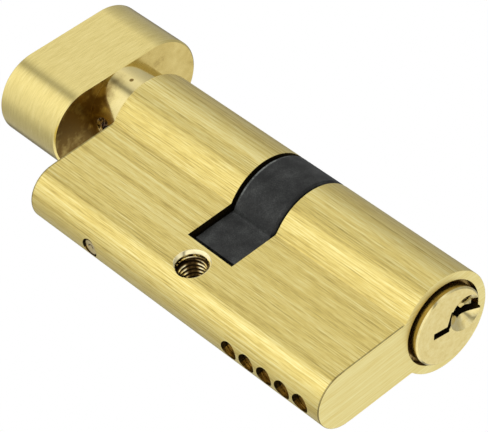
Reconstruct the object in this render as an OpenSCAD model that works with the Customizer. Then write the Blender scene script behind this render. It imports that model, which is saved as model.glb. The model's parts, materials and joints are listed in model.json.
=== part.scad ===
// Thumb turn euro cylinder, a door lock core with a key side and a turn side.
// Millimetres. Origin at the centre of the fixing screw hole, +X along the
// barrel to the key end, +Z up from the leg to the barrel.

/* [Housing] */
// Length of the key side, from the fixing screw to the end face
key_side = 32.5; // [30:0.5:60]
// Length of the turn side, from the fixing screw to the end face
turn_side = 32.5; // [28:0.5:60]
// Diameter of the round barrel
barrel_d = 17; // [16.6:0.1:18]
// Width of the leg, and twice the radius of its round bottom
leg_w = 10; // [9:0.1:11]
// Height of the whole profile
profile_h = 33; // [32:0.1:35]
// Height of the barrel axis above the fixing screw
axis_h = 19.2; // [18.8:0.1:19.8]
// Fillet between the barrel and the leg
crease_fillet = 0.4; // [0.2:0.1:0.8]
// Diameter of the two bores in the barrel
bore_d = 13; // [12.6:0.1:13.4]
// Width of the slot that the cam turns in
slot_w = 10; // [9.6:0.1:10.6]
// Depth of the cam slot below the barrel axis
slot_depth = 15.6; // [15.4:0.1:16]

/* [Fixing screw] */
// Major diameter of the screw thread
screw_d = 5; // [4:0.1:5.2]
// Diameter of the countersunk mouths
screw_mouth_d = 5.9; // [5.5:0.1:6.2]

/* [Key plug] */
// Radial running clearance of the plugs in their bores
run_clear = 0.04; // [0.02:0.01:0.08]
// How far the nose of the plug stands out of the end face
nose_out = 1.2; // [0.5:0.1:1.6]
// Bevel round the nose
nose_bevel = 0.25; // [0.1:0.05:0.4]
// Diameter of the recess round the nose
recess_d = 14.1; // [13.8:0.1:14.4]
// Depth of the recess
recess_depth = 1.6; // [1.2:0.1:2.4]
// Thickness of the flange that seats in the recess
flange_t = 0.55; // [0.4:0.05:0.8]
// Diameter of the journals that carry the cam
journal_d = 9.9; // [9.6:0.1:10.2]
// Where the journal of the key plug ends, from the fixing screw
key_journal_end = 2.5; // [2.5:0.1:2.9]

/* [Keyway] */
// Width of the slot for the cut edge of the blade
blade_w = 1.1; // [0.9:0.1:1.3]
// Depth of that slot below the barrel axis
keyway_low = 3.05; // [2.7:0.05:3.3]
// Width of the channel past the lower ward
channel_w = 0.7; // [0.5:0.05:0.9]
// Width of the room between the two wards
ward_gap = 1.4; // [1.1:0.05:1.6]
// Width of the channel past the upper ward
upper_w = 1.2; // [1:0.05:1.4]
// Sideways place of that channel
upper_y = 0.2; // [0:0.05:0.3]
// Width of the channel for the back of the blade
back_w = 2.2; // [1.8:0.05:2.4]
// Sideways place of the back channel
back_y = -0.3; // [-0.5:0.05:0.2]
// Height above the axis where the back channel starts
back_h = 5.1; // [4.8:0.1:5.4]
// Diameter of the funnel that guides the key in
funnel_d = 6; // [5:0.1:6.2]
// Depth of the funnel
funnel_depth = 1.2; // [0.8:0.1:1.5]
// Height of the funnel above the barrel axis
funnel_h = 3.3; // [3:0.1:3.4]
// Sideways place of the funnel
funnel_y = -0.25; // [-0.4:0.05:0.2]
// Radius of the flat bottom of the funnel, where the drill stops
funnel_tip_r = 1; // [0.8:0.1:1.2]

/* [Pins] */
// Number of pin stacks
pins = 5; // [5]
// Distance from the end face to the first pin stack
first_pin = 4; // [3.8:0.1:5]
// Distance between neighbouring pin stacks
pin_pitch = 3.82; // [3.7:0.02:4]
// Diameter of the drilled pin chambers
chamber_d = 3.2; // [3:0.05:3.3]
// Radial clearance of the pins in their chambers
pin_clear = 0.08; // [0.05:0.01:0.1]
// Length of the shortest key pin, from the shear line to its tip
short_pin = 4.2; // [4:0.1:4.4]
// Difference in length between one cut of the key and the next
cut_step = 0.45; // [0.3:0.05:0.45]
// Length of the driver pins
driver_len = 6; // [5:0.1:7]
// Travel of the pins either way from the shear line
pin_travel = 1.5; // [1:0.1:1.6]
// Length of the plugs that close the chambers
cap_len = 2.8; // [2:0.1:3.5]
// How far the chamber plugs lie inside the round of the leg
cap_recess = 1; // [0.4:0.1:1.4]
// Wire diameter of the pin springs
spring_wire = 0.3; // [0.25:0.05:0.35]

/* [Cam] */
// Gap between the cam and each wall of its slot
cam_play = 0.5; // [0.4:0.05:0.55]
// Width of the lobe across the leg
lobe_w = 8; // [7:0.1:9]
// Reach of the lobe from the barrel axis
lobe_reach = 15.1; // [14:0.1:15.2]
// Fillet between the ring and the lobe
lobe_fillet = 0.8; // [0.4:0.1:1.2]
// Bevel on the edges of the ring
cam_bevel = 0.4; // [0.2:0.1:0.5]
// Thickness of the retaining clips
clip_t = 0.5; // [0.4:0.05:0.55]
// Outer diameter of the retaining clips
clip_d = 14.6; // [14.2:0.1:14.8]
// Width of the gap in a clip
clip_gap = 3.2; // [2:0.1:4]

/* [Clutch] */
// Width of the clutch bar and of the tongue
clutch_w = 2.9; // [2.6:0.1:3.1]
// Clearance of the clutch at each flank of its slots
clutch_clear = 0.05; // [0.03:0.01:0.1]
// Length of the bar across the cam
bar_len = 13.6; // [13:0.1:13.8]
// Thickness of the bar along the barrel
bar_t = 2.2; // [1.8:0.1:2.4]
// Length of the tongue across the spindle
tongue_len = 6.4; // [6:0.1:6.6]
// Thickness of the tongue along the barrel
tongue_t = 1.15; // [0.9:0.05:1.2]
// Travel of the clutch when a key tip pushes it back
clutch_travel = 1.8; // [1.7:0.1:2]
// Space left between the pushed bar and the turn side's journal
bar_room = 1.3; // [1:0.1:1.4]
// Length of the clutch spring when it is pushed together
clutch_spring_short = 3.5; // [3:0.1:5]
// Wire diameter of the clutch spring
clutch_wire = 0.5; // [0.4:0.05:0.55]

/* [Thumb turn] */
// Gap between the collar and the end face of the housing
collar_gap = 0.1; // [0.05:0.05:0.3]
// Length of the collar up to the grip
collar_len = 6.5; // [5:0.1:9]
// Diameter of the collar
collar_d = 14.4; // [13.1:0.1:14.6]
// Depth of the grip along the barrel
grip_depth = 13.7; // [10:0.1:16]
// Thickness of the grip, which has full round ends
grip_t = 14.9; // [14:0.1:17]
// Length of the grip across the barrel
grip_len = 29; // [24:0.1:34]
// Bevel on the edges of the grip
grip_bevel = 0.3; // [0.2:0.05:0.6]
// How far the grip is turned off the upright at rest, in degrees
grip_lean = -2; // [-5:0.5:5]
// Diameter of the spindle inside the grip
shaft_d = 8; // [7:0.1:9]
// How far the spindle reaches into the grip, from the collar
shaft_in = 8; // [6:0.1:9]
// Diameter of the grub screw in the collar
grub_d = 3; // [2.5:0.1:3.5]
// Distance of the grub screw from the end face of the housing
grub_x = 3.4; // [3:0.1:4.2]
// Turn of the grub screw round the collar from the grip's long way, in degrees
grub_turn = -14; // [-30:1:30]
// Distance of the retaining pin from the fixing screw
retaining_x = 18.5; // [16:0.1:22]
// How far the nose of the retaining pin stands off the spindle's surface, at its centre
retaining_off = 0.55; // [0.4:0.05:0.7]

/* [Hidden] */
$fn = 96;

// Small overlap that makes a cut pass clean through a face
cut = 1;
// Gap between two pieces of the mechanism that touch in use
seat_gap = 0.04;

// Housing
barrel_r = barrel_d / 2;
leg_r = leg_w / 2;
bore_r = bore_d / 2;
leg_bottom = axis_h + barrel_r - profile_h;
leg_round_h = leg_bottom + leg_r;
slot_floor = axis_h - slot_depth;
slot_end = slot_w / 2;
chamber_r = chamber_d / 2;

// Plugs
plug_r = bore_r - run_clear;
recess_r = recess_d / 2;
flange_clear = 0.1;
flange_r = recess_r - flange_clear;
recess_x = key_side - recess_depth;
nose_x = key_side + nose_out;
journal_r = journal_d / 2;
clip_groove_depth = 0.6;
clip_groove_r = journal_r - clip_groove_depth;
clip_inner_x = slot_end - seat_gap - clip_t;

// Pins, with the cuts of one key as steps above the shortest pin
key_cuts = [2, 0, 3, 1, 2];
pin_r = chamber_r - pin_clear;
dome_r = plug_r - seat_gap;
pin_tip_r = 0.5;
pin_tip_h = 1;
pin_hole_spare = 0.4;
pin_hole_top = axis_h - dome_r + short_pin + max(key_cuts) * cut_step + pin_travel + pin_hole_spare;
driver_top = axis_h - bore_r;
driver_low = driver_top - driver_len;
cap_low = leg_bottom + cap_recess;
cap_top = cap_low + cap_len;
cap_clear = 0.02;
cap_r = chamber_r - cap_clear;
pin_bevel = 0.2;
spring_play = 0.03;
pin_spring_r = pin_r - spring_wire;
pin_spring_turns = 9;

// Cam and clutch
cam_w = slot_w - 2 * cam_play;
cam_end = cam_w / 2;
cam_bore_r = journal_r + run_clear;
clip_pocket_clear = 0.15;
clip_pocket_r = clip_d / 2 + clip_pocket_clear;
clip_pocket_play = 0.2;
clip_pocket_x = clip_inner_x - clip_pocket_play;
bar_end_clear = 0.1;
groove_r = bar_len / 2 + bar_end_clear;
clutch_slot = clutch_w + 2 * clutch_clear;
journal_gap = 0.1;
bar_x = key_journal_end - journal_gap;
hub_r = 2.6;
stem_r = 1.4;
key_tip_w = 2;
key_tip_depth = 1.2;
turn_wall_spare = 0.15;
turn_wall_t = tongue_t + turn_wall_spare;
turn_journal_end = bar_x - bar_t - clutch_travel - bar_room;
turn_wall_back = turn_journal_end - turn_wall_t;
tongue_x = turn_journal_end - journal_gap;
tongue_back = tongue_x - tongue_t;
cavity_clear = 0.25;
cavity_r = tongue_len / 2 + cavity_clear;
cavity_back = turn_wall_back - clutch_travel - clutch_spring_short;
clutch_spring_clear = 0.15;
clutch_spring_r = cavity_r - clutch_wire / 2 - clutch_spring_clear;
clutch_spring_turns = 5;

// Thumb turn
collar_x = -turn_side - collar_gap;
grip_x = collar_x - collar_len;
grip_back = grip_x - grip_depth;
grip_end_r = grip_t / 2;
collar_r = collar_d / 2;
shaft_r = shaft_d / 2;
shaft_back = grip_x - shaft_in;
shaft_flat_depth = 0.7;
shaft_flat = shaft_r - shaft_flat_depth;
shaft_root = 0.5;
socket_clear = 0.03;
socket_r = shaft_r + socket_clear;
grub_r = grub_d / 2;
grub_clear = 0.02;
grub_sink = 0.3;
grub_hex_r = 0.58 * grub_r;
retaining_r = pin_r;
retaining_h = axis_h - plug_r - retaining_off;
retaining_len = 6;
retaining_cap_sink = 0.05;
retaining_cap_low = leg_round_h - sqrt(leg_r * leg_r - chamber_r * chamber_r) + retaining_cap_sink;
retaining_cap_top = retaining_cap_low + cap_len;
retaining_spring_turns = 8;
torus_clear = 0.06;
torus_r = retaining_r + torus_clear;

function stack_x(i) = key_side - first_pin - i * pin_pitch;
function key_pin_len(i) = short_pin + key_cuts[i] * cut_step;

// A round bar on the barrel axis, from one place to another
module on_axis(x0, x1, r) {
    translate([x0, 0, axis_h]) rotate([0, 90, 0]) cylinder(h = x1 - x0, r = r);
}

// A cone on the barrel axis
module cone_on_axis(x0, x1, r0, r1) {
    translate([x0, 0, axis_h]) rotate([0, 90, 0]) cylinder(h = x1 - x0, r1 = r0, r2 = r1);
}

// A shape drawn across the barrel, carried along it
module across(x0, x1) {
    translate([x0, 0, 0]) rotate([90, 0, 90]) linear_extrude(x1 - x0) children();
}

// Everything inside is turned about the barrel axis
module lean(angle) {
    translate([0, 0, axis_h]) rotate([angle, 0, 0]) translate([0, 0, -axis_h]) children();
}

// The fillet between a circle on the barrel axis and an upright wall at y = w
module fillet_2d(circle_r, w, f) {
    fz = axis_h - sqrt(pow(circle_r + f, 2) - pow(w + f, 2));
    ratio = circle_r / (circle_r + f);
    tangent = [(w + f) * ratio, axis_h + (fz - axis_h) * ratio];
    for (side = [0, 1]) mirror([side, 0]) difference() {
        polygon([[w - f, fz], [w + f, fz], tangent, [w - f, tangent[1]]]);
        translate([w + f, fz]) circle(r = f);
    }
}

// The outline of the housing, seen along the barrel
module profile_2d() {
    translate([0, axis_h]) circle(r = barrel_r);
    translate([-leg_r, leg_round_h]) square([leg_w, axis_h - leg_round_h]);
    translate([0, leg_round_h]) circle(r = leg_r);
    fillet_2d(barrel_r, leg_r, crease_fillet);
}

// A drilled chamber from the bottom of the leg up into the bore
module chamber(x) {
    translate([x, 0, leg_bottom - cut]) cylinder(h = axis_h - leg_bottom + cut, r = chamber_r);
}

// A chamber pin standing on z, with a small bevel at both ends
module bevelled_pin(r, h) {
    cylinder(h = pin_bevel, r1 = r - pin_bevel, r2 = r);
    translate([0, 0, pin_bevel]) cylinder(h = h - 2 * pin_bevel, r = r);
    translate([0, 0, h - pin_bevel]) cylinder(h = pin_bevel, r1 = r, r2 = r - pin_bevel);
}

// Height of a coil's wire after u turns, with one closed turn at each end
function coil_z(u, turns, h, wire) =
    let (lift = 1.06 * wire, free = h - wire - 2 * lift)
    wire / 2 + (u < 1 ? u * lift : u > turns - 1 ? h - wire - (turns - u) * lift
        : lift + (u - 1) * free / (turns - 2));

// A helical compression spring standing on z
module coil(r, wire, h, turns) {
    steps = 10;
    sides = 6;
    rings = steps * turns;
    points = [for (i = [0:rings], k = [0:sides - 1])
        let (a = 360 * i / steps, b = 360 * k / sides, rr = r + wire / 2 * cos(b))
        [rr * cos(a), rr * sin(a), coil_z(i / steps, turns, h, wire) + wire / 2 * sin(b)]];
    skin = [for (i = [0:rings - 1], k = [0:sides - 1])
        let (n = (k + 1) % sides, p = i * sides, q = p + sides)
        [p + k, p + n, q + n, q + k]];
    first_end = [[for (k = [0:sides - 1]) sides - 1 - k]];
    last_end = [[for (k = [0:sides - 1]) rings * sides + k]];
    polyhedron(points = points, faces = concat(skin, first_end, last_end), convexity = 10);
}

// Housing machined from one extruded brass bar
module body() {
    color("darkkhaki") difference() {
        across(-turn_side, key_side) profile_2d();
        on_axis(-turn_side - cut, 0, bore_r);
        on_axis(0, key_side + cut, bore_r);
        on_axis(recess_x, key_side + cut, recess_r);
        translate([-slot_end, -barrel_d, slot_floor]) cube([slot_w, 2 * barrel_d, profile_h]);
        for (i = [0:pins - 1]) chamber(stack_x(i));
        chamber(-retaining_x);
        screw_hole();
    }
}

// Threaded hole for the fixing screw, with a countersunk mouth on each side
module screw_hole() {
    mouth_depth = (screw_mouth_d - screw_d) / 2;
    rotate([90, 0, 0]) cylinder(h = leg_w + 2 * cut, r = screw_d / 2, center = true);
    for (side = [-1, 1]) rotate([90 * side, 0, 0]) translate([0, 0, leg_r - mouth_depth])
        cylinder(h = mouth_depth, r1 = screw_d / 2, r2 = screw_mouth_d / 2);
}

// The straight stretches of the keyway, from its foot up. Each has its foot and its head, as the
// place across and the height above the axis, and its width.
keyway_stretches = [
    [[-0.18, -keyway_low], [0.42, 0], blade_w],
    [[0.3, -0.2], [-2.2, 1.05], channel_w],
    [[-2.2, 1.6], [0.3, 3.05], ward_gap],
    [[upper_y, 2.4], [upper_y, back_h + cut], upper_w],
    [[back_y, back_h], [back_y, flange_r + cut], back_w]];

// The keyway seen along the barrel: it winds past two wards and opens at the top
module keyway_2d() {
    translate([0, axis_h]) for (stretch = keyway_stretches) {
        along = stretch[1] - stretch[0];
        translate(stretch[0]) rotate(atan2(along[1], along[0])) translate([0, -stretch[2] / 2])
            square([norm(along), stretch[2]]);
    }
}

// Turned plug that the key goes into
module key_plug() {
    color("khaki") difference() {
        union() {
            on_axis(slot_end, recess_x, plug_r);
            on_axis(recess_x, recess_x + flange_t, flange_r);
            on_axis(recess_x, nose_x - nose_bevel, plug_r);
            cone_on_axis(nose_x - nose_bevel, nose_x, plug_r, plug_r - nose_bevel);
            on_axis(key_journal_end, slot_end, journal_r);
        }
        clip_groove(clip_inner_x - seat_gap / 2);
        across(key_journal_end - cut, nose_x + cut) keyway_2d();
        translate([nose_x - funnel_depth, funnel_y, axis_h + funnel_h]) rotate([0, 90, 0])
            cylinder(h = funnel_depth, r1 = funnel_tip_r, r2 = funnel_d / 2);
        for (i = [0:pins - 1]) translate([stack_x(i), 0, axis_h - bore_r - cut])
            cylinder(h = pin_hole_top - axis_h + bore_r + cut, r = chamber_r);
    }
}

// The groove in a journal for its clip
module clip_groove(x) {
    difference() {
        on_axis(x, x + clip_t + seat_gap, journal_r + cut);
        on_axis(x, x + clip_t + seat_gap, clip_groove_r);
    }
}

// Spring steel clip with one gap, sprung over a journal
module clip(x, gap_angle) {
    difference() {
        on_axis(x, x + clip_t, clip_d / 2);
        on_axis(x - cut, x + clip_t + cut, clip_groove_r + seat_gap);
        lean(gap_angle) translate([x - cut, -clip_gap / 2, axis_h])
            cube([clip_t + 2 * cut, clip_gap, clip_d]);
    }
}

module key_plug_clip() {
    color("silver") clip(clip_inner_x, 180);
}

// Key pin: pointed towards the key, domed at the shear line
module key_pin(i) {
    color("gold") intersection() {
        translate([stack_x(i), 0, axis_h - dome_r]) union() {
            cylinder(h = key_pin_len(i) - pin_tip_h, r = pin_r);
            translate([0, 0, key_pin_len(i) - pin_tip_h]) cylinder(h = pin_tip_h, r1 = pin_r, r2 = pin_tip_r);
        }
        translate([stack_x(i), 0, axis_h]) sphere(r = dome_r);
    }
}

// Driver pin, pushed up to the shear line by its spring
module driver_pin(i) {
    color("silver") translate([stack_x(i), 0, driver_low]) bevelled_pin(pin_r, driver_len);
}

module pin_spring(i) {
    color("gray") translate([stack_x(i), 0, cap_top + spring_play])
        coil(pin_spring_r, spring_wire, driver_low - cap_top - 2 * spring_play, pin_spring_turns);
}

// Brass plug pressed into the mouth of a chamber
module chamber_plug(i) {
    color("olive") translate([stack_x(i), 0, cap_low]) bevelled_pin(cap_r, cap_len);
}

// Cam: a ring in the slot with one lobe, which throws the bolt of the lock case
module cam() {
    color("dimgray") difference() {
        union() {
            on_axis(-cam_end + cam_bevel, cam_end - cam_bevel, barrel_r);
            cone_on_axis(-cam_end, -cam_end + cam_bevel, barrel_r - cam_bevel, barrel_r);
            cone_on_axis(cam_end - cam_bevel, cam_end, barrel_r, barrel_r - cam_bevel);
            across(-cam_end + cam_bevel, cam_end - cam_bevel) fillet_2d(barrel_r, lobe_w / 2, lobe_fillet);
            intersection() {
                translate([-cam_end, -lobe_w / 2, axis_h - lobe_reach - cut])
                    cube([cam_w, lobe_w, lobe_reach + cut]);
                on_axis(-cam_end, cam_end, lobe_reach);
            }
        }
        on_axis(-cam_end - cut, cam_end + cut, cam_bore_r);
        on_axis(clip_pocket_x, cam_end + cut, clip_pocket_r);
        on_axis(-cam_end - cut, -clip_pocket_x, clip_pocket_r);
        intersection() {
            translate([-cam_w, -groove_r, axis_h - clutch_slot / 2])
                cube([2 * cam_w, 2 * groove_r, clutch_slot]);
            on_axis(-cam_w, cam_w, groove_r);
        }
    }
}

// Sliding clutch: its bar drives the cam, its tongue takes drive from the turn
module clutch() {
    color("slategray") difference() {
        union() {
            on_axis(bar_x - bar_t, bar_x, hub_r);
            intersection() {
                translate([bar_x - bar_t, -bar_len / 2, axis_h - clutch_w / 2])
                    cube([bar_t, bar_len, clutch_w]);
                on_axis(bar_x - bar_t, bar_x, bar_len / 2);
            }
            on_axis(tongue_back, bar_x - bar_t, stem_r);
            intersection() {
                translate([tongue_back, -tongue_len / 2, axis_h - clutch_w / 2])
                    cube([tongue_t, tongue_len, clutch_w]);
                on_axis(tongue_back, tongue_x, tongue_len / 2);
            }
        }
        translate([bar_x - key_tip_depth, -key_tip_w / 2, axis_h - hub_r - cut])
            cube([key_tip_depth + cut, key_tip_w, 2 * hub_r + 2 * cut]);
    }
}

module clutch_spring() {
    spring_x = cavity_back + seat_gap;
    color("gray") translate([spring_x, 0, axis_h]) rotate([0, 90, 0])
        coil(clutch_spring_r, clutch_wire, turn_wall_back - seat_gap - spring_x, clutch_spring_turns);
}

// Turned spindle that carries the thumb turn
module turn_spindle() {
    color("khaki") difference() {
        union() {
            on_axis(-turn_side + seat_gap, -slot_end, plug_r);
            on_axis(-slot_end, turn_journal_end, journal_r);
            lean(grip_lean + grub_turn) flatted_shaft();
        }
        clip_groove(-clip_inner_x - clip_t - seat_gap / 2);
        on_axis(cavity_back, turn_wall_back, cavity_r);
        translate([turn_wall_back - seat_gap, -journal_d, axis_h - clutch_slot / 2])
            cube([turn_wall_t + seat_gap + cut, 2 * journal_d, clutch_slot]);
        retaining_groove();
    }
}

// The end of the spindle inside the grip, with a flat for the grub screw
module flatted_shaft() {
    intersection() {
        on_axis(shaft_back, -turn_side + shaft_root, shaft_r);
        translate([shaft_back - cut, -shaft_d, axis_h - shaft_flat])
            cube([-turn_side + shaft_root - shaft_back + 2 * cut, 2 * shaft_d, shaft_d + shaft_flat]);
    }
}

// Round groove all the way round the spindle, for the nose of the retaining pin
module retaining_groove() {
    translate([-retaining_x, 0, axis_h]) rotate([0, 90, 0]) rotate_extrude()
        translate([plug_r + retaining_off, 0]) circle(r = torus_r);
}

module turn_spindle_clip() {
    color("silver") clip(-clip_inner_x - clip_t, 0);
}

// The outline of the grip with full round ends, carried along the barrel
module grip_bar(x0, x1, inset0, inset1) {
    rise = grip_len / 2 - grip_end_r;
    for (end = [-1, 1]) translate([0, 0, end * rise])
        cone_on_axis(x0, x1, grip_end_r - inset0, grip_end_r - inset1);
    translate([0, 0, axis_h - rise]) linear_extrude(2 * rise) polygon([
        [x0, -grip_end_r + inset0], [x1, -grip_end_r + inset1],
        [x1, grip_end_r - inset1], [x0, grip_end_r - inset0]]);
}

// Grip and collar, cast in one piece and bored for the spindle
module thumb_turn() {
    color("darkkhaki") lean(grip_lean) difference() {
        union() {
            grip_bar(grip_back, grip_back + grip_bevel, grip_bevel, 0);
            grip_bar(grip_back + grip_bevel, grip_x - grip_bevel, 0, 0);
            grip_bar(grip_x - grip_bevel, grip_x, 0, grip_bevel);
            on_axis(grip_x, collar_x, collar_r);
        }
        on_axis(shaft_back - seat_gap, collar_x + cut, socket_r);
        lean(grub_turn) translate([-turn_side - grub_x, 0, axis_h - collar_r - cut])
            cylinder(h = collar_r + cut, r = grub_r);
    }
}

// Grub screw with a hexagon socket, through the collar onto the spindle's flat
module turn_grub_screw() {
    grub_len = collar_r - shaft_flat - grub_sink;
    color("gray") lean(grip_lean + grub_turn)
        translate([-turn_side - grub_x, 0, axis_h - shaft_flat - grub_len]) difference() {
            cylinder(h = grub_len, r = grub_r - grub_clear);
            translate([0, 0, -cut]) cylinder(h = grub_len / 2 + cut, r = grub_hex_r, $fn = 6);
        }
}

// Round-nosed pin that holds the spindle in by its groove
module retaining_pin() {
    color("silver") translate([-retaining_x, 0, retaining_h]) {
        sphere(r = retaining_r);
        translate([0, 0, -retaining_len]) cylinder(h = retaining_len, r = retaining_r);
    }
}

module retaining_spring() {
    low = retaining_cap_top + spring_play;
    high = retaining_h - retaining_len - spring_play;
    color("gray") translate([-retaining_x, 0, low])
        coil(pin_spring_r, spring_wire, high - low, retaining_spring_turns);
}

// Brass plug pressed in over the retaining pin, level with the leg
module retaining_plug() {
    color("khaki") translate([-retaining_x, 0, retaining_cap_low]) bevelled_pin(cap_r, cap_len);
}

body();
key_plug();
key_plug_clip();
key_pin(0);  // key_pin_1
key_pin(1);  // key_pin_2
key_pin(2);  // key_pin_3
key_pin(3);  // key_pin_4
key_pin(4);  // key_pin_5
driver_pin(0);  // driver_pin_1
driver_pin(1);  // driver_pin_2
driver_pin(2);  // driver_pin_3
driver_pin(3);  // driver_pin_4
driver_pin(4);  // driver_pin_5
pin_spring(0);  // pin_spring_1
pin_spring(1);  // pin_spring_2
pin_spring(2);  // pin_spring_3
pin_spring(3);  // pin_spring_4
pin_spring(4);  // pin_spring_5
chamber_plug(0);  // chamber_plug_1
chamber_plug(1);  // chamber_plug_2
chamber_plug(2);  // chamber_plug_3
chamber_plug(3);  // chamber_plug_4
chamber_plug(4);  // chamber_plug_5
cam();
clutch();
clutch_spring();
turn_spindle();
turn_spindle_clip();
thumb_turn();
turn_grub_screw();
retaining_pin();
retaining_spring();
retaining_plug();
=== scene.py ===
import json
import math

import bmesh
import bpy
from mathutils import Matrix, Vector


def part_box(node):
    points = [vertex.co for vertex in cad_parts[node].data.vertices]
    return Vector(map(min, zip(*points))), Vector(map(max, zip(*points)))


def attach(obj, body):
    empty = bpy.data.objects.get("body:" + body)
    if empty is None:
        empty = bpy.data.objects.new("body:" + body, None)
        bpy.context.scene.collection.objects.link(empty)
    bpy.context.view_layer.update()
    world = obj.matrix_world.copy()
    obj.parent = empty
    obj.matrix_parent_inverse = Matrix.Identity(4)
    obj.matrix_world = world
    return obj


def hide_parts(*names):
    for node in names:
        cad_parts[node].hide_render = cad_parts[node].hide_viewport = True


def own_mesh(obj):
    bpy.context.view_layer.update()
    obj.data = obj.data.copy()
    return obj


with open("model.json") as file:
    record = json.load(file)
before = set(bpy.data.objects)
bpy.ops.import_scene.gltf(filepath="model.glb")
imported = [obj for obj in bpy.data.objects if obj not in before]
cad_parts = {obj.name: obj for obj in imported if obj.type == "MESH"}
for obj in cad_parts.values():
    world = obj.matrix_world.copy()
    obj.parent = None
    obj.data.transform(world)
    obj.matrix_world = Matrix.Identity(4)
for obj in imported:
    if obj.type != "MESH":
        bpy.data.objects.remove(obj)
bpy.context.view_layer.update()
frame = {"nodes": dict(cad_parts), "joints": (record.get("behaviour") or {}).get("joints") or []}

# Housing
# One extruded brass bar of the euro profile, drilled, bored and slotted for the cam.
# It is brushed along its length, and up and down on its end faces. Its edges are lightly eased.
housing_edge = 0.00014
bevel_room = 1.2
merge_distance = 0.000001
flat_angle = math.radians(0.4)
sharp_angle = math.radians(28)
crisp_angle = math.radians(15)
fillet_length = 0.002
fillet_width = 0.00012
normal_weight = 60


def worked_in(piece):
    """Turns the piece's modifiers into plain mesh."""
    depsgraph = bpy.context.evaluated_depsgraph_get()
    piece.data = bpy.data.meshes.new_from_object(piece.evaluated_get(depsgraph))
    piece.modifiers.clear()


def eased_copy(node, name, edge, left_sharp=None):
    """A copy of a solid with each facet's triangles joined and its sharp edges eased, but for some."""
    mesh = frame["nodes"][node].data.copy()
    mesh.name = name
    piece = bpy.data.objects.new(name, mesh)
    bpy.context.scene.collection.objects.link(piece)
    work = bmesh.new()
    work.from_mesh(mesh)
    bmesh.ops.remove_doubles(work, verts=work.verts, dist=merge_distance)
    bmesh.ops.dissolve_limit(work, angle_limit=flat_angle, verts=work.verts, edges=work.edges)
    eased = work.edges.layers.float.new("bevel_weight_edge")
    for rim in work.edges:
        if rim.is_manifold and rim.calc_face_angle() > sharp_angle:
            middle = (rim.verts[0].co + rim.verts[1].co) / 2
            beside = min(other.calc_length() for corner in rim.verts for other in corner.link_edges)
            rim.smooth = beside > bevel_room * edge and not (left_sharp and left_sharp(middle))
            rim[eased] = 1.0 if rim.smooth else 0.0
    # The narrow facets of small fillets keep their own normals
    for facet in work.faces:
        longest = max(rim.calc_length() for rim in facet.edges)
        if longest > fillet_length and facet.calc_area() < fillet_width * longest:
            for rim in facet.edges:
                if not rim[eased]:
                    rim.smooth = False
    work.to_mesh(mesh)
    work.free()
    bevel = piece.modifiers.new("edge", "BEVEL")
    bevel.width = edge
    bevel.segments = 2
    bevel.limit_method = "WEIGHT"
    bevel.miter_outer = "MITER_ARC"
    bevel.use_clamp_overlap = True
    return finished(piece)


def finished(piece):
    """The piece with its bevel worked in, and shaded smooth with its flat faces kept flat."""
    worked_in(piece)
    piece.data.shade_smooth()
    # Edges are crisp where an eased edge runs into one left sharp, or the two walls would blend there
    work = bmesh.new()
    work.from_mesh(piece.data)
    by_sharp = [corner for corner in work.verts if any(not rim.smooth for rim in corner.link_edges)]
    for rim in {rim for corner in by_sharp for rim in corner.link_edges}:
        if rim.is_manifold and rim.calc_face_angle() > crisp_angle:
            rim.smooth = False
    work.to_mesh(piece.data)
    work.free()
    weighted = piece.modifiers.new("normals", "WEIGHTED_NORMAL")
    weighted.mode = "FACE_AREA"
    weighted.keep_sharp = True
    weighted.weight = normal_weight
    worked_in(piece)
    return piece


# Where a pattern from 0 to 1 reaches its darkest and lightest colour, and its roughest and smoothest
darkest, lightest = 0.32, 0.68
roughest, smoothest = 0.3, 0.7
noise_roughness = 0.6
coat_roughness = 0.3


def new_finish(name):
    """An empty material, its node tree, its shader, and the coordinates to build a pattern on."""
    material = bpy.data.materials.new(name)
    material.use_nodes = True
    tree = material.node_tree
    place = tree.nodes.new("ShaderNodeTexCoord").outputs
    return material, tree, tree.nodes["Principled BSDF"], place


def grain(tree, place, cells, detail=3.0):
    """Noise of so many cells per metre, one number for all ways or one each for X, Y and Z."""
    mapping = tree.nodes.new("ShaderNodeMapping")
    mapping.inputs["Scale"].default_value = cells if isinstance(cells, tuple) else (cells,) * 3
    noise = tree.nodes.new("ShaderNodeTexNoise")
    noise.inputs["Scale"].default_value = 1.0
    noise.inputs["Detail"].default_value = detail
    noise.inputs["Roughness"].default_value = noise_roughness
    tree.links.new(place, mapping.inputs["Vector"])
    tree.links.new(mapping.outputs["Vector"], noise.inputs["Vector"])
    return noise.outputs[0]


def maths(tree, operation, first, second=None, third=None):
    """One maths node, with sockets or numbers for its inputs."""
    node = tree.nodes.new("ShaderNodeMath")
    node.operation = operation
    for socket, value in zip(node.inputs, (first, second, third)):
        if value is None:
            continue
        if isinstance(value, (int, float)):
            socket.default_value = value
        else:
            tree.links.new(value, socket)
    return node.outputs[0]


def product(tree, first, *others):
    """Sockets and numbers multiplied one after another."""
    for other in others:
        first = maths(tree, "MULTIPLY", first, other)
    return first


def together(tree, *layers):
    """Patterns added up, each given with its share."""
    total = 0.0
    for pattern, share in layers:
        total = maths(tree, "MULTIPLY_ADD", pattern, share, total)
    return total


def levelled(tree, pattern, contrast, level):
    """A pattern with its contrast multiplied and its level moved."""
    return maths(tree, "MULTIPLY_ADD", pattern, contrast, level)


def from_middle(tree, first, second):
    """How far a place is from an axis, by its two distances across it."""
    return maths(tree, "SQRT", maths(tree, "MULTIPLY_ADD", first, first, product(tree, second, second)))


def ranged(tree, value, low, high, to_low, to_high):
    """A value carried from one range to another, clamped."""
    node = tree.nodes.new("ShaderNodeMapRange")
    tree.links.new(value, node.inputs["Value"])
    for socket, number in zip(("From Min", "From Max", "To Min", "To Max"), (low, high, to_low, to_high)):
        node.inputs[socket].default_value = number
    return node.outputs[0]


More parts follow.
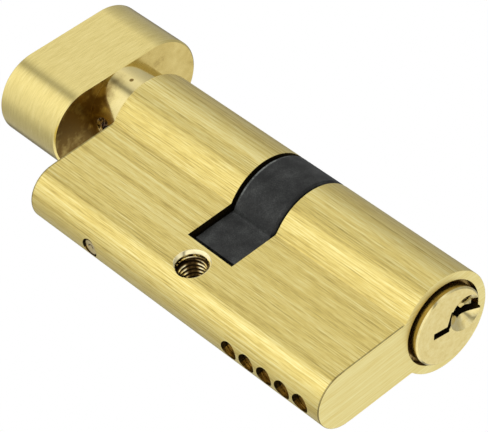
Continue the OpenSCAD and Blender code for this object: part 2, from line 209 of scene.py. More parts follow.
def split(tree, vector):
    """The X, Y and Z of a vector."""
    parts = tree.nodes.new("ShaderNodeSeparateXYZ")
    tree.links.new(vector, parts.inputs["Vector"])
    return parts.outputs


def blended(tree, factor, first, second):
    """A blend of two values by a factor from 0 to 1."""
    blend = tree.nodes.new("ShaderNodeMix")
    tree.links.new(factor, blend.inputs["Factor"])
    tree.links.new(first, blend.inputs["A"])
    tree.links.new(second, blend.inputs["B"])
    return blend.outputs["Result"]


def metal(tree, shader, lines, colours, roughness, relief, coat=0.0):
    """Colour, roughness and relief of a worked metal, all from one pattern of lines from 0 to 1."""
    ramp = tree.nodes.new("ShaderNodeValToRGB")
    stops = ramp.color_ramp.elements
    stops[0].position = darkest
    stops[0].color = (*colours[0], 1)
    stops[1].position = lightest
    stops[1].color = (*colours[2], 1)
    stops.new(0.5).color = (*colours[1], 1)
    tree.links.new(lines, ramp.inputs["Fac"])
    tree.links.new(ramp.outputs["Color"], shader.inputs["Base Color"])
    gloss = ranged(tree, lines, roughest, smoothest, roughness[1], roughness[0])
    tree.links.new(gloss, shader.inputs["Roughness"])
    bump = tree.nodes.new("ShaderNodeBump")
    bump.inputs["Strength"].default_value = 1.0
    bump.inputs["Distance"].default_value = relief
    tree.links.new(lines, bump.inputs["Height"])
    tree.links.new(bump.outputs["Normal"], shader.inputs["Normal"])
    shader.inputs["Metallic"].default_value = 1.0
    shader.inputs["Coat Weight"].default_value = coat
    shader.inputs["Coat Roughness"].default_value = coat_roughness


def one_grain(name, cells, colours, roughness, relief, detail=3.0):
    """A worked metal whose only pattern is one grain."""
    material, tree, shader, place = new_finish(name)
    metal(tree, shader, grain(tree, place["Object"], cells, detail), colours, roughness, relief)
    return material


def shaded(tree, shader, factor):
    """Makes the shader's colour darker or lighter by a factor."""
    scaled = tree.nodes.new("ShaderNodeVectorMath")
    scaled.operation = "SCALE"
    tree.links.new(shader.inputs["Base Color"].links[0].from_socket, scaled.inputs[0])
    tree.links.new(factor, scaled.inputs["Scale"])
    tree.links.new(scaled.outputs["Vector"], shader.inputs["Base Color"])


# Brush lines: cells per metre along them and across them, and the share of each layer.
# Those on the end faces, which run up and down, are fainter.
brush_layers = ((300, 7000, 0.36), (24, 4600, 0.40), (5, 420, 0.24))
faces_end = 0.7


def brush_lines(tree, place):
    """Layers of brush lines, which turn upright on the end faces."""
    lean = maths(tree, "ABSOLUTE", split(tree, place["Normal"])["X"])
    on_end = maths(tree, "GREATER_THAN", lean, faces_end)
    layers = []
    for along, across, share in brush_layers:
        side = grain(tree, place["Object"], (along, across, across))
        end = grain(tree, place["Object"], (across, across, along))
        fainter = levelled(tree, end, contrast=0.5, level=0.31)
        layers.append((blended(tree, on_end, side, fainter), share))
    return together(tree, *layers)


brushed_brass, tree, shader, place = new_finish("brushed_brass")
crisp = levelled(tree, brush_lines(tree, place), contrast=1.45, level=-0.215)
metal(tree, shader, crisp, colours=((0.52, 0.385, 0.10), (0.86, 0.69, 0.215), (1.0, 0.89, 0.41)),
      roughness=(0.34, 0.48), relief=0.00003, coat=0.25)

# A thin dark line of painted shade round the leg's ends
body_low, body_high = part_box("body")
crease_height = 0.0122
end_shade_width, end_shade_core = 0.0003, 0.0002
end_shade_fade = 0.0004
end_shade_loss = 0.52
faces_side = 0.5
at = split(tree, place["Object"])
to_end = maths(tree, "SUBTRACT", body_high.x, maths(tree, "ABSOLUTE", at["X"]))
end_shade_band = ranged(tree, to_end, end_shade_width, end_shade_core, 0, 1)
lean = maths(tree, "ABSOLUTE", split(tree, place["Normal"])["X"])
on_side = maths(tree, "LESS_THAN", lean, faces_side)
on_leg = ranged(tree, at["Z"], crease_height, crease_height - end_shade_fade, 0, end_shade_loss)
shaded(tree, shader, maths(tree, "SUBTRACT", 1.0, product(tree, end_shade_band, on_side, on_leg)))

# Eased edges round the ends of the bar, painted darker than its faces as painted shade
shaded_edge_brass = one_grain("shaded_edge_brass", cells=1500, roughness=(0.3, 0.45), relief=0.000006,
                       colours=((0.14, 0.095, 0.03), (0.22, 0.155, 0.05), (0.32, 0.23, 0.075)))

# Machined faces inside the housing, painted near black as painted shade
shaded_bored_brass = one_grain("shaded_bored_brass", cells=2400, roughness=(0.42, 0.6), relief=0.00001,
                        colours=((0.02, 0.013, 0.004), (0.05, 0.034, 0.011), (0.11, 0.075, 0.026)))

# Walls of the pin chambers and of the recess, painted brown as painted shade, with the shine of the tool
shaded_drilled_brass = one_grain("shaded_drilled_brass", cells=(900, 900, 4200), roughness=(0.2, 0.36), relief=0.00001,
                          colours=((0.12, 0.072, 0.018), (0.30, 0.20, 0.06), (0.55, 0.41, 0.14)))

# Brass of the tapped hole: plain and bright in the mouths, bright on the crests, with painted shade in the
# roots and a painted dark reflection in a streak along the hole
screw_radius = 0.0025
thread_depth = 0.00042
thread_start = 0.0039
mouth_blur = 0.0001
root_shade_share, crest_shade_share = 0.9, 0.35
dark_reflection_way = (0.66, 0.74)
dark_reflection_offset = 0.0002
dark_reflection_core, dark_reflection_width = 0.0005, 0.0012
dark_reflection_strength = 0.8
cutting_share = 0.3
unshaded_level, thread_shade_loss = 0.75, 0.5

cut_brass, tree, shader, place = new_finish("cut_brass")
at = split(tree, place["Object"])
from_hole = from_middle(tree, at["X"], at["Z"])
shaded_root = ranged(tree, from_hole, screw_radius - root_shade_share * thread_depth,
              screw_radius - crest_shade_share * thread_depth, 0, 1)
tapped = ranged(tree, maths(tree, "ABSOLUTE", at["Y"]),
                thread_start - mouth_blur, thread_start + mouth_blur, 1, 0)
across = maths(tree, "MULTIPLY_ADD", at["X"], dark_reflection_way[0],
               maths(tree, "MULTIPLY_ADD", at["Z"], dark_reflection_way[1], dark_reflection_offset))
dark_reflection = ranged(tree, maths(tree, "ABSOLUTE", across), dark_reflection_core, dark_reflection_width, dark_reflection_strength, 0)
shade_and_reflection = product(tree, maths(tree, "MAXIMUM", shaded_root, dark_reflection), tapped)
cutting = maths(tree, "SUBTRACT", grain(tree, place["Object"], 3000), 0.5)
shade = maths(tree, "MULTIPLY_ADD", cutting, cutting_share, shade_and_reflection)
metal(tree, shader, maths(tree, "SUBTRACT", unshaded_level, product(tree, shade, thread_shade_loss)),
      colours=((0.012, 0.006, 0.002), (0.20, 0.12, 0.035), (0.97, 0.86, 0.50)),
      roughness=(0.1, 0.3), relief=0.000004)


def painted(piece, finishes, pick):
    """Gives each face the finish that pick chooses from its centre and its normal."""
    piece.data.materials.clear()
    for finish in finishes:
        piece.data.materials.append(finish)
    for face in piece.data.polygons:
        face.material_index = finishes.index(pick(face.center, face.normal))


# Where each part of the housing is, and how far its faces lean towards an axis, at most or at least
stacks = range(1, 6)
axis_height = frame["joints"][0]["pos_m"][2]
recess_and_bores = 0.0072
recess_depth = 0.0012
end_margin = 0.0005
slot_floor = axis_height - 0.01
mouth_reach = 1.2
chamber_radius = 0.0016
chamber_reach, chamber_rim = 1.02, 1.2
chamber_plugs = [f"chamber_plug_{number}" for number in stacks] + ["retaining_plug"]
chamber_places = [sum(corner.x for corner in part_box(plug)) / 2 for plug in chamber_plugs]
wall_lean, shaft_lean, face_lean, end_lean, leg_lean = 0.3, 0.5, 0.9, 0.95, 0.98


def off_axis(spot):
    """How far a place is from the axis that the plugs and the cam turn on."""
    return math.hypot(spot.y, spot.z - axis_height)


def at_end(spot):
    """Whether a place is by either end face."""
    return spot.x > body_high.x - end_margin or spot.x < body_low.x + end_margin


def by_chamber(spot, reach):
    """Whether a place is within a reach, in chamber radii, of a pin chamber's middle."""
    return any(math.hypot(spot.x - x, spot.y) < chamber_radius * reach for x in chamber_places)


def housing_finish(centre, normal):
    """Faces inside the housing are dark with painted shade, the screw hole is bright, the ends' edges are
    dark with painted shade, and the rest is brushed.
    """
    in_bore = off_axis(centre) < recess_and_bores
    if in_bore and abs(normal.x) < wall_lean:
        return shaded_drilled_brass if centre.x > body_high.x - recess_depth else shaded_bored_brass
    if at_end(centre):
        end_shaded = abs(normal.x) < end_lean and centre.z < crease_height and not in_bore
        return shaded_edge_brass if end_shaded else brushed_brass
    inward = abs(normal.y) < leg_lean and normal.x * centre.x + normal.z * centre.z < 0
    if inward and math.hypot(centre.x, centre.z) < screw_radius * mouth_reach:
        return cut_brass
    if in_bore or abs(normal.x) > face_lean or (normal.z > face_lean and centre.z < slot_floor):
        return shaded_bored_brass
    in_chamber = by_chamber(centre, chamber_reach) and abs(normal.z) < shaft_lean
    return shaded_drilled_brass if in_chamber else brushed_brass


def left_sharp(spot):
    """Edges inside the housing and round the pin chambers are left as they were cut."""
    inside = off_axis(spot) < recess_and_bores and not at_end(spot)
    return inside or by_chamber(spot, chamber_rim)


housing = eased_copy("body", "housing", housing_edge, left_sharp)
painted(housing, (brushed_brass, shaded_edge_brass, shaded_bored_brass, shaded_drilled_brass, cut_brass), housing_finish)
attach(housing, "housing")
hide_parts("body")

# Screw thread
# The M5 thread for the fixing screw, tapped through the leg between two plain mouths.
# It is a strip that follows a helix in the hole, with a sharp crest and flanks down to the wall.
thread_pitch = 0.0008
thread_length = 2 * thread_start
thread_rings = 900
profile_points = 9
wall_overlap = -0.15
overlap_step = 0.01
run_out_share = 0.06
seam_distance = 0.000002
most_cap_sides = 16
quarter_turn = math.radians(90)


def group_with(name, *numbers):
    """A Geometry Nodes group with one number input for each pair of name and value."""
    group = bpy.data.node_groups.new(name, "GeometryNodeTree")
    group.interface.new_socket("Geometry", in_out="INPUT", socket_type="NodeSocketGeometry")
    for label, value in numbers:
        socket = group.interface.new_socket(label, in_out="INPUT", socket_type="NodeSocketFloat")
        socket.default_value = value
    group.interface.new_socket("Geometry", in_out="OUTPUT", socket_type="NodeSocketGeometry")
    return group, group.nodes.new("NodeGroupInput").outputs, group.nodes.new("NodeGroupOutput")


def strip(group, rings, around):
    """A grid whose X runs along a path and Y runs around it, both from 0 to 1."""
    grid = group.nodes.new("GeometryNodeMeshGrid")
    grid.inputs["Size X"].default_value = 1.0
    grid.inputs["Size Y"].default_value = 1.0
    grid.inputs["Vertices X"].default_value = rings
    grid.inputs["Vertices Y"].default_value = around
    spot = split(group, group.nodes.new("GeometryNodeInputPosition").outputs["Position"])
    return grid.outputs["Mesh"], maths(group, "ADD", spot["X"], 0.5), maths(group, "ADD", spot["Y"], 0.5)


def placed(group, mesh, reach, angle, height, material, output):
    """Sets the grid's points round Z, joins its seam, and ends the tree."""
    joined = group.nodes.new("ShaderNodeCombineXYZ")
    spot = (product(group, reach, maths(group, "COSINE", angle)),
            product(group, reach, maths(group, "SINE", angle)), height)
    for socket, value in zip(joined.inputs, spot):
        group.links.new(value, socket)
    move = group.nodes.new("GeometryNodeSetPosition")
    group.links.new(mesh, move.inputs["Geometry"])
    group.links.new(joined.outputs["Vector"], move.inputs["Position"])
    merge = group.nodes.new("GeometryNodeMergeByDistance")
    merge.inputs["Distance"].default_value = seam_distance
    group.links.new(move.outputs["Geometry"], merge.inputs["Geometry"])
    real = group.nodes.new("GeometryNodeRealizeInstances")
    group.links.new(merge.outputs["Geometry"], real.inputs["Geometry"])
    paint = group.nodes.new("GeometryNodeSetMaterial")
    paint.inputs["Material"].default_value = material
    group.links.new(real.outputs["Geometry"], paint.inputs["Geometry"])
    group.links.new(paint.outputs["Geometry"], output.inputs[0])


def made(name, group, values, place):
    """A plain mesh made by a group with its inputs set, moved to its place, capped and facing out."""
    piece = bpy.data.objects.new(name, bpy.data.meshes.new(name))
    bpy.context.scene.collection.objects.link(piece)
    tree_modifier = piece.modifiers.new("shape", "NODES")
    tree_modifier.node_group = group
    for item in group.interface.items_tree:
        if item.in_out == "INPUT" and item.name in values:
            tree_modifier[item.identifier] = values[item.name]
    worked_in(piece)
    piece.data.transform(place)
    work = bmesh.new()
    work.from_mesh(piece.data)
    open_rims = [edge for edge in work.edges if edge.is_boundary]
    bmesh.ops.holes_fill(work, edges=open_rims, sides=most_cap_sides)
    bmesh.ops.recalc_face_normals(work, faces=work.faces)
    work.to_mesh(piece.data)
    work.free()
    return piece


tree, sizes, output = group_with("tapped_thread", ("Root radius", screw_radius), ("Depth", thread_depth),
                                 ("Pitch", thread_pitch), ("Length", thread_length))
mesh, along, across = strip(tree, thread_rings, profile_points)
turns = maths(tree, "DIVIDE", product(tree, along, sizes["Length"]), sizes["Pitch"])
# Around the profile: up one straight flank to the crest, down the other, and back inside the wall
around = product(tree, across, math.tau)
to_side = maths(tree, "COSINE", around)
inside = ranged(tree, maths(tree, "SINE", around), -overlap_step, overlap_step, wall_overlap, 1.0)
tooth = product(tree, maths(tree, "SUBTRACT", 1.0, maths(tree, "ABSOLUTE", to_side)), inside)
run_out = ranged(tree, maths(tree, "PINGPONG", along, 0.5), 0.0, run_out_share, 0.0, 1.0)
reach = maths(tree, "SUBTRACT", sizes["Root radius"], product(tree, tooth, run_out, sizes["Depth"]))
sway = product(tree, to_side, sizes["Pitch"], -0.5)
climb = product(tree, maths(tree, "SUBTRACT", along, 0.5), sizes["Length"])
height = maths(tree, "ADD", climb, sway)
placed(tree, mesh, reach, product(tree, turns, math.tau), height, cut_brass, output)
thread = made("screw_thread", tree, {"Pitch": thread_pitch, "Depth": thread_depth},
              Matrix.Rotation(quarter_turn, 4, "X"))
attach(thread, "housing")

# Key plug
# The turned brass core that the key goes into, with its nose standing out of the recess. Its face is
# satin, its bevel and the funnel bright from the tool, and the nose's side and the keyway dark with painted
# shade.
plug_edge = 0.00005
nose_radius = 0.00625
nose_margin = 0.0001
funnel_y = -0.00025
funnel_height = 0.0033
funnel_radius = 0.0031
side_lean, slope_lean, flat_lean = 0.2, 0.97, 0.95


def vector_maths(tree, operation, vector, fixed):
    """One vector maths node between a vector and three numbers."""
    node = tree.nodes.new("ShaderNodeVectorMath")
    node.operation = operation
    node.inputs[1].default_value = fixed
    tree.links.new(vector, node.inputs[0])
    return node.outputs["Value" if operation in ("DISTANCE", "DOT_PRODUCT") else "Vector"]


turned_brass, tree, shader, place = new_finish("turned_brass")
at = split(tree, vector_maths(tree, "SUBTRACT", place["Object"], (0, 0, axis_height)))
ring_place = tree.nodes.new("ShaderNodeCombineXYZ")
tree.links.new(at["X"], ring_place.inputs["X"])
tree.links.new(from_middle(tree, at["Y"], at["Z"]), ring_place.inputs["Y"])
rings = grain(tree, ring_place.outputs["Vector"], (9000, 9000, 1))
cloud = grain(tree, place["Object"], 1500, detail=4.0)
metal(tree, shader, together(tree, (cloud, 0.65), (rings, 0.35)), roughness=(0.28, 0.36), relief=0.000005,
      coat=0.15, colours=((0.80, 0.64, 0.235), (0.88, 0.73, 0.305), (0.94, 0.81, 0.385)))

# Brass bright from the tool or the buff, with only a trace of marks
polished_brass = one_grain("polished_brass", cells=1300, detail=4.0, roughness=(0.09, 0.15),
                           relief=0.000004,
                           colours=((0.80, 0.65, 0.26), (0.88, 0.74, 0.34), (0.92, 0.80, 0.42)))

# The nose's side, left from the tool and painted brown as painted shade in the recess
shaded_nose_brass = one_grain("shaded_nose_brass", cells=(9000, 500, 500), roughness=(0.2, 0.3), relief=0.000004,
                       colours=((0.30, 0.20, 0.06), (0.44, 0.32, 0.105), (0.56, 0.42, 0.15)))


def key_core_finish(centre, normal):
    """Keyway and recess faces are dark with painted shade, the nose's side is painted brown as shade, the
    funnel and bevel bright, and the face satin.
    """
    in_funnel = math.hypot(centre.y - funnel_y, centre.z - axis_height - funnel_height) < funnel_radius
    if abs(normal.x) < side_lean:
        return shaded_bored_brass if off_axis(centre) < nose_radius - nose_margin else shaded_nose_brass
    if centre.x < body_high.x:
        return shaded_drilled_brass if centre.x > body_high.x - recess_depth else shaded_bored_brass
    if in_funnel and side_lean < normal.x < slope_lean:
        return polished_brass
    return turned_brass if normal.x > flat_lean and centre.x > body_high.x else polished_brass


key_plug = eased_copy("key_plug", "key_core", plug_edge)
painted(key_plug, (turned_brass, polished_brass, shaded_nose_brass, shaded_drilled_brass, shaded_bored_brass), key_core_finish)
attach(key_plug, "key_plug")
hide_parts("key_plug")

# Thumb turn
# Oval grip and round collar, cast in one piece. The grip is linished round its rim, so its lines
# run round it, its face towards the housing is satin, and the collar is polished.
turn_edge = 0.0001
collar_length = 0.0065
grip_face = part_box("thumb_turn")[1].x - collar_length
face_margin = 0.00005
dot_place = (-0.03575, -0.0072, 0.01906)
dot_radius = 0.00022
dot_rim = 1.8

cast_brass, tree, shader, place = new_finish("cast_brass")
coarse_lines = grain(tree, place["Object"], (2600, 240, 240))
fine_lines = grain(tree, place["Object"], (7000, 620, 620))
metal(tree, shader, together(tree, (coarse_lines, 0.45), (fine_lines, 0.55)), roughness=(0.21, 0.28),
      relief=0.000008, coat=0.1, colours=((0.76, 0.62, 0.215), (0.865, 0.715, 0.27), (0.93, 0.79, 0.33)))

# The face of the grip towards the housing, satin, and brown below the collar from painted shade
face_shade_top, face_shade_foot, face_shade_loss = axis_height + 0.001, axis_height - 0.006, -0.22
satin_shaded_brass, tree, shader, place = new_finish("satin_shaded_brass")
shaded_low = ranged(tree, split(tree, place["Object"])["Z"], face_shade_top, face_shade_foot, 0, 1)
cloud = levelled(tree, grain(tree, place["Object"], 420), contrast=0.5, level=0.30)
metal(tree, shader, maths(tree, "MULTIPLY_ADD", shaded_low, face_shade_loss, cloud), roughness=(0.2, 0.34),
      relief=0.000006, colours=((0.20, 0.12, 0.028), (0.66, 0.51, 0.17), (0.78, 0.63, 0.24)))

# The collar, polished, brown at its root underneath from painted shade, with a small punched dot
root_shade_end, root_shade_start = grip_face + 0.0042, grip_face + 0.0014
under_shade_top, under_shade_foot = axis_height + 0.001, axis_height - 0.004
root_shade_loss = 0.24
smooth_brass, tree, shader, place = new_finish("smooth_brass")
off_dot = vector_maths(tree, "DISTANCE", place["Object"], dot_place)
plain = ranged(tree, off_dot, dot_radius, dot_rim * dot_radius, 0, 1)
marks = levelled(tree, grain(tree, place["Object"], 900, detail=4.0), contrast=0.20, level=0.46)
at = split(tree, place["Object"])
shaded_root = ranged(tree, at["X"], root_shade_end, root_shade_start, 0, 1)
under = ranged(tree, at["Z"], under_shade_top, under_shade_foot, 0, 1)
root_shaded = maths(tree, "SUBTRACT", marks, product(tree, shaded_root, under, root_shade_loss))
metal(tree, shader, product(tree, root_shaded, plain), roughness=(0.09, 0.16), relief=0.000004,
      colours=((0.26, 0.17, 0.045), (0.84, 0.70, 0.30), (0.93, 0.80, 0.39)))


def turn_finish(centre, normal):
    """The collar is polished, the grip's face behind it is satin with painted shade below the collar, and
    its rim is linished.
    """
    if centre.x > grip_face + face_margin:
        return smooth_brass
    return satin_shaded_brass if centre.x > grip_face - face_margin else cast_brass


thumb_turn = eased_copy("thumb_turn", "grip_and_collar", turn_edge)
painted(thumb_turn, (cast_brass, satin_shaded_brass, smooth_brass), turn_finish)
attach(thumb_turn, "thumb_turn")
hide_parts("thumb_turn")

# Turn spindle and grub screw
# The spindle is the turned brass core of the turn side, and its flatted shaft goes into the grip.
# A small black grub screw in the underside of the collar clamps the grip on it. Its colour has light
# patches, partly oxide scuffed through by the hexagon key and partly painted glints.
grub_steel, tree, shader, place = new_finish("grub_steel")
scuffs_and_glints = levelled(tree, grain(tree, place["Object"], 2200), contrast=2.2, level=-0.52)
metal(tree, shader, scuffs_and_glints, colours=((0.03, 0.02, 0.016), (0.12, 0.08, 0.065), (0.95, 0.86, 0.82)),
      roughness=(0.16, 0.3), relief=0.00001)


def dressed(names, finish):
    """Gives CAD parts, whose shape is right as it is, a finish in place of their plain one."""
    for name in names:
        for material_slot in frame["nodes"][name].material_slots:
            material_slot.material = finish


dressed(["turn_spindle"], turned_brass)
dressed(["turn_grub_screw"], grub_steel)

# Cam
# Black ring with one lobe, sintered steel with a semi-matt black finish, painted a little darker towards
# its top as painted shade. Its edges are eased, and the one towards the turn carries a painted glint.
cam_edge = 0.00014
top_shade_foot, top_shade_top, top_shade_loss = 0.011, 0.024, 0.12
black_contrast = 1.35
black_specular = 0.34

black_steel, tree, shader, place = new_finish("black_steel")
at = split(tree, place["Object"])
broad = grain(tree, place["Object"], 420, detail=2.0)
speckle = grain(tree, place["Object"], 5200)
mottle = maths(tree, "SUBTRACT", together(tree, (broad, 0.5), (speckle, 0.5)), 0.5)
# Painted shade: darker towards the top
top_shaded = maths(tree, "SUBTRACT", 0.5, ranged(tree, at["Z"], top_shade_foot, top_shade_top, 0.0, top_shade_loss))
metal(tree, shader, maths(tree, "MULTIPLY_ADD", mottle, black_contrast, top_shaded), roughness=(0.34, 0.5),
      relief=0.00002, colours=((0.006, 0.0065, 0.006), (0.021, 0.0224, 0.0208), (0.052, 0.055, 0.051)))
shader.inputs["Metallic"].default_value = 0.0
shader.inputs["Specular IOR Level"].default_value = black_specular

# A painted glint: a light line on the ring, beside its edge towards the turn
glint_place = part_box("cam")[0].x + 0.00055
glint_core, glint_width = 0.00009, 0.00018
glint_foot, glint_top = (0.0125, 0.0145), (0.021, 0.0245)
patches, faintest_glint = (0.35, 0.6), 0.3
glint_gain = 9.0
from_glint = maths(tree, "ABSOLUTE", maths(tree, "SUBTRACT", at["X"], glint_place))
in_glint = ranged(tree, from_glint, glint_core, glint_width, 1, 0)
upper = product(tree, ranged(tree, at["Z"], *glint_foot, 0, 1), ranged(tree, at["Z"], *glint_top, 1, 0))
patchy = ranged(tree, grain(tree, place["Object"], 900), *patches, faintest_glint, 1)
shaded(tree, shader, maths(tree, "MULTIPLY_ADD", product(tree, in_glint, upper, patchy), glint_gain, 1.0))

# Lighter grey for the eased edge towards the turn, as a painted glint
edge_glint_steel = one_grain("edge_glint_steel", cells=900, roughness=(0.26, 0.36), relief=0.000003,
                       colours=((0.10, 0.10, 0.10), (0.22, 0.22, 0.218), (0.42, 0.42, 0.415)))
glint_from, glint_to = -0.95, -0.3


def cam_finish(centre, normal):
    """The eased edge of the ring towards the turn is a lighter grey as a painted glint, the rest is black.
    """
    return edge_glint_steel if glint_from < normal.x < glint_to else black_steel


cam = eased_copy("cam", "cam_ring_and_lobe", cam_edge)
painted(cam, (black_steel, edge_glint_steel), cam_finish)
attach(cam, "cam")
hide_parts("cam")

# Pins
# Brass key pins with round ends in the key plug and plated steel driver pins below them, all turned,
# so their lines run round them. The pin behind the retaining plug and the clutch are of the same steel.
pin_brass = one_grain("pin_brass", cells=(240, 240, 9000), roughness=(0.18, 0.3), relief=0.000006,
                      colours=((0.58, 0.43, 0.13), (0.76, 0.60, 0.22), (0.86, 0.71, 0.30)))
pin_steel = one_grain("pin_steel", cells=(240, 240, 9000), roughness=(0.16, 0.28), relief=0.000005,
                      colours=((0.36, 0.35, 0.33), (0.55, 0.54, 0.51), (0.70, 0.69, 0.66)))
dressed([f"key_pin_{number}" for number in stacks], pin_brass)
dressed([f"driver_pin_{number}" for number in stacks] + ["retaining_pin", "clutch"], pin_steel)

# Springs
# Coils of drawn steel wire with closed ends: one under each driver pin, one behind the retaining
# pin and a stronger one behind the clutch. The first five and the last are pushed together in use.
pin_wire = 0.0003
clutch_wire = 0.0005
pin_turns = 9
retaining_turns = 8
clutch_turns = 5
rings_per_turn = 26
closed_rise = 1.06
usual_radius, usual_height = 0.001, 0.01

spring_steel = one_grain("spring_steel", cells=3200, roughness=(0.2, 0.34), relief=0.000005,
                         colours=((0.24, 0.24, 0.235), (0.40, 0.40, 0.39), (0.56, 0.56, 0.55)))


def coil_tree(name, turns):
    """A Geometry Nodes group for a coil that stands on z, with one closed turn at each end."""
    group, sizes, output = group_with(name, ("Coil radius", usual_radius), ("Wire", pin_wire),
                                      ("Turns", turns), ("Height", usual_height))
    mesh, along, across = strip(group, rings_per_turn * turns + 1, profile_points)
    wire_radius = product(group, sizes["Wire"], 0.5)
    turn = product(group, along, sizes["Turns"])
    closed = product(group, sizes["Wire"], closed_rise)
    free_turns = maths(group, "SUBTRACT", sizes["Turns"], 2.0)
    free = maths(group, "SUBTRACT", maths(group, "SUBTRACT", sizes["Height"], sizes["Wire"]),
                 product(group, closed, 2.0))
    step = maths(group, "SUBTRACT", maths(group, "DIVIDE", free, free_turns), closed)
    past_first = maths(group, "MAXIMUM", maths(group, "SUBTRACT", turn, 1.0), 0.0)
    open_turns = maths(group, "MINIMUM", past_first, free_turns)
    opened = maths(group, "MULTIPLY_ADD", open_turns, step, wire_radius)
    rise = maths(group, "MULTIPLY_ADD", turn, closed, opened)
    round_wire = product(group, across, math.tau)
    out, up = maths(group, "COSINE", round_wire), maths(group, "SINE", round_wire)
    reach = maths(group, "MULTIPLY_ADD", out, wire_radius, sizes["Coil radius"])
    height = maths(group, "MULTIPLY_ADD", up, wire_radius, rise)
    placed(group, mesh, reach, product(group, turn, math.tau), height, spring_steel, output)
    return group


def coil(node, name, group, wire, turns, body, lying=False):
    """A spring piece that fills the box of its CAD solid, upright or lying along the barrel."""
    low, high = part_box(node)
    middle = (low + high) / 2
    radius = (high.z - low.z if lying else high.x - low.x) / 2 - wire / 2
    height = high.x - low.x if lying else high.z - low.z
    foot = Vector((low.x, middle.y, middle.z)) if lying else Vector((middle.x, middle.y, low.z))
    turned = Matrix.Rotation(quarter_turn, 4, "Y") if lying else Matrix.Identity(4)
    values = {"Coil radius": radius, "Wire": wire, "Turns": float(turns), "Height": height}
    piece = made(name, group, values, Matrix.Translation(foot) @ turned)
    piece.data.shade_smooth()
    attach(piece, body)
    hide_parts(node)
    return piece, foot, height


pin_coil_tree = coil_tree("pin_coil", pin_turns)
for number in stacks:
    spring, foot, height = coil(f"pin_spring_{number}", f"pin_coil_{number}", pin_coil_tree, pin_wire,
                                pin_turns, "housing")
    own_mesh(spring)
coil("retaining_spring", "retaining_coil", coil_tree("retaining_coil", retaining_turns), pin_wire,
     retaining_turns, "housing")
spring, foot, height = coil("clutch_spring", "clutch_coil", coil_tree("clutch_coil", clutch_turns),
                            clutch_wire, clutch_turns, "clutch", lying=True)
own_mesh(spring)

# Clips
# Snap rings of sprung steel, phosphated dark grey, in a groove of each core.
clip_steel = one_grain("clip_steel", cells=4200, roughness=(0.4, 0.55), relief=0.00001,
                       colours=((0.06, 0.06, 0.058), (0.13, 0.13, 0.125), (0.22, 0.22, 0.21)))
dressed(["key_plug_clip", "turn_spindle_clip"], clip_steel)

# Plugs of the pin chambers
# Short brass plugs pressed a little way into the mouths of the five chambers, painted dark brown as
# painted shade in the mouths. The sixth, behind the retaining pin, is level with the leg, light, and marked
# by the punch.
plug_brass = one_grain("plug_brass", cells=1300, detail=4.0, roughness=(0.16, 0.4), relief=0.00008,
                       colours=((0.14, 0.085, 0.02), (0.42, 0.29, 0.09), (0.80, 0.64, 0.28)))
dressed(chamber_plugs[:5], plug_brass)

mark_radius = 0.00048
mark_core, mark_width = 0.00007, 0.00013
mark_half = 0.0001
rim_core, rim_width = chamber_radius - 0.0002, chamber_radius - 0.0004
punched_brass, tree, shader, place = new_finish("punched_brass")
at = split(tree, vector_maths(tree, "SUBTRACT", place["Object"], (chamber_places[5], 0, 0)))
radius = from_middle(tree, at["X"], at["Y"])
off_mark = maths(tree, "ABSOLUTE", maths(tree, "SUBTRACT", radius, mark_radius))
mark = maths(tree, "MAXIMUM", ranged(tree, off_mark, mark_core, mark_width, 0, 1),
             ranged(tree, at["Y"], -mark_half, mark_half, 0, 1))
rim = ranged(tree, radius, rim_width, rim_core, 1, 0)
surface = levelled(tree, grain(tree, place["Object"], 1400, detail=4.0), contrast=0.2, level=0.45)
metal(tree, shader, product(tree, surface, product(tree, mark, rim)), roughness=(0.2, 0.36),
      relief=0.000012, colours=((0.10, 0.065, 0.018), (0.76, 0.60, 0.27), (0.97, 0.83, 0.42)))
dressed(["retaining_plug"], punched_brass)

# Camera
# A long lens below and in front of the key end, rolled so that the barrel runs down to the right.
camera_place = Vector((0.256717, -0.304998, -0.167813))
camera_right = Vector((0.660136, 0.124855, 0.740697))
camera_down = Vector((0.459582, 0.712842, -0.529755))
camera_forward = Vector((-0.594142, 0.690122, 0.413192))
camera_data = bpy.data.cameras.new("camera")
camera_data.sensor_width = 36.0
camera_data.lens = 216.66
camera_data.clip_start = 0.01
camera_data.clip_end = 20.0
camera = bpy.data.objects.new("camera", camera_data)
columns = (camera_right, -camera_down, -camera_forward)
camera.matrix_world = Matrix.Translation(camera_place) @ Matrix(columns).transposed().to_4x4()
bpy.context.scene.collection.objects.link(camera)
bpy.context.scene.camera = camera

# Studio
# White all round, softly shaded from below to above and behind the turn side. The metal shows that
# white with its shading, and the camera sees it plain.
world = bpy.data.worlds.new("studio")
bpy.context.scene.world = world
world.use_nodes = True
tree = world.node_tree
tree.nodes.clear()
place = tree.nodes.new("ShaderNodeTexCoord").outputs

# How light it is from straight down, -1, to straight up, 1
levels = ((-1.0, 0.7373), (-0.82, 0.8370), (-0.74, 0.8968), (-0.62, 0.9942), (-0.5, 1.0550),
          (-0.24, 1.0652), (-0.13, 0.8170), (-0.03, 0.3388), (0.04, 0.3388), (0.14, 0.7074),
          (0.28, 0.8768), (0.44, 0.9067), (0.62, 0.6178), (0.8, 0.4583), (1.0, 0.4185))
ramp = tree.nodes.new("ShaderNodeValToRGB")
stops = ramp.color_ramp.elements
while len(stops) < len(levels):
    stops.new(0.5)
for stop, (upward, level) in zip(stops, levels):
    stop.position = (upward + 1) / 2
    stop.color = (level, level, level, 1)
tree.links.new(ranged(tree, split(tree, place["Generated"])["Z"], -1, 1, 0, 1), ramp.inputs["Fac"])

# Darker behind the turn side, most of all straight behind it, away from the lens, and below that.
# Each has its direction, where the loss starts and is full, by how near a direction is, and the loss.
glow = ramp.outputs["Color"]
for toward, start, end, loss in (((-0.7, 0.7, 0.1), 0.3, 0.9, 0.3),
                                 ((-0.594, 0.69, 0.413), 0.86, 0.97, 0.7),
                                 ((-0.594, 0.6, -0.53), 0.8, 0.98, 0.4)):
    near = vector_maths(tree, "DOT_PRODUCT", place["Generated"], Vector(toward).normalized())
    glow = product(tree, glow, ranged(tree, near, start, end, 1, 1 - loss))

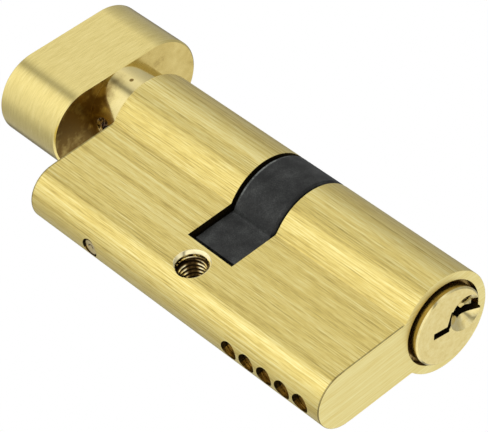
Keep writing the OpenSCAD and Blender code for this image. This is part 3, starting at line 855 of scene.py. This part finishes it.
# The camera sees plain white, mirrors see the shaded white, and matt surfaces an even soft light
ray = tree.nodes.new("ShaderNodeLightPath").outputs
background = tree.nodes.new("ShaderNodeBackground")
tree.links.new(maths(tree, "MAXIMUM", glow, ray["Is Camera Ray"]), background.inputs["Color"])
soft = tree.nodes.new("ShaderNodeBackground")
soft.inputs["Color"].default_value = (0.85, 0.85, 0.85, 1)
sees = maths(tree, "MAXIMUM", ray["Is Camera Ray"],
             maths(tree, "MAXIMUM", ray["Is Glossy Ray"], ray["Is Transmission Ray"]))
choice = tree.nodes.new("ShaderNodeMixShader")
output = tree.nodes.new("ShaderNodeOutputWorld")
tree.links.new(sees, choice.inputs["Fac"])
tree.links.new(soft.outputs["Background"], choice.inputs[1])
tree.links.new(background.outputs["Background"], choice.inputs[2])
tree.links.new(choice.outputs["Shader"], output.inputs["Surface"])

# Pale floor, far below because the camera looks up at the lock from under it
floor_half = 0.45
floor_height = -0.8
floor_corners = [(x * floor_half, y * floor_half, floor_height)
                 for x, y in ((-1, -1), (1, -1), (1, 1), (-1, 1))]
floor_mesh = bpy.data.meshes.new("floor")
floor_mesh.from_pydata(floor_corners, [], [(0, 1, 2, 3)])
floor = bpy.data.objects.new("floor", floor_mesh)
bpy.context.scene.collection.objects.link(floor)
pale, tree, shader, place = new_finish("pale_floor")
shader.inputs["Base Color"].default_value = (0.9, 0.9, 0.9, 1)
shader.inputs["Roughness"].default_value = 0.9
floor_mesh.materials.append(pale)

# Soft lamp in front and below, long in the barrel's direction and set towards the key side
lamp_way = Vector((-0.594, -0.59, -0.547)).normalized()
lamp_aim = Vector((0.03, 0, axis_height))
lamp_distance = 0.35
lamp_shift = 0.16
lamp_data = bpy.data.lights.new("soft_lamp", "AREA")
lamp_data.shape = "RECTANGLE"
lamp_data.size, lamp_data.size_y = 0.4, 0.3
lamp_data.energy = 0.076
lamp = bpy.data.objects.new("soft_lamp", lamp_data)
long_way = (Vector((1, 0, 0)) - lamp_way * lamp_way.x).normalized()
lamp_place = lamp_aim + lamp_way * lamp_distance + long_way * lamp_shift
lamp.matrix_world = (Matrix.Translation(lamp_place)
                     @ Matrix((long_way, lamp_way.cross(long_way), lamp_way)).transposed().to_4x4())
bpy.context.scene.collection.objects.link(lamp)

bpy.context.scene.view_settings.view_transform = "Standard"
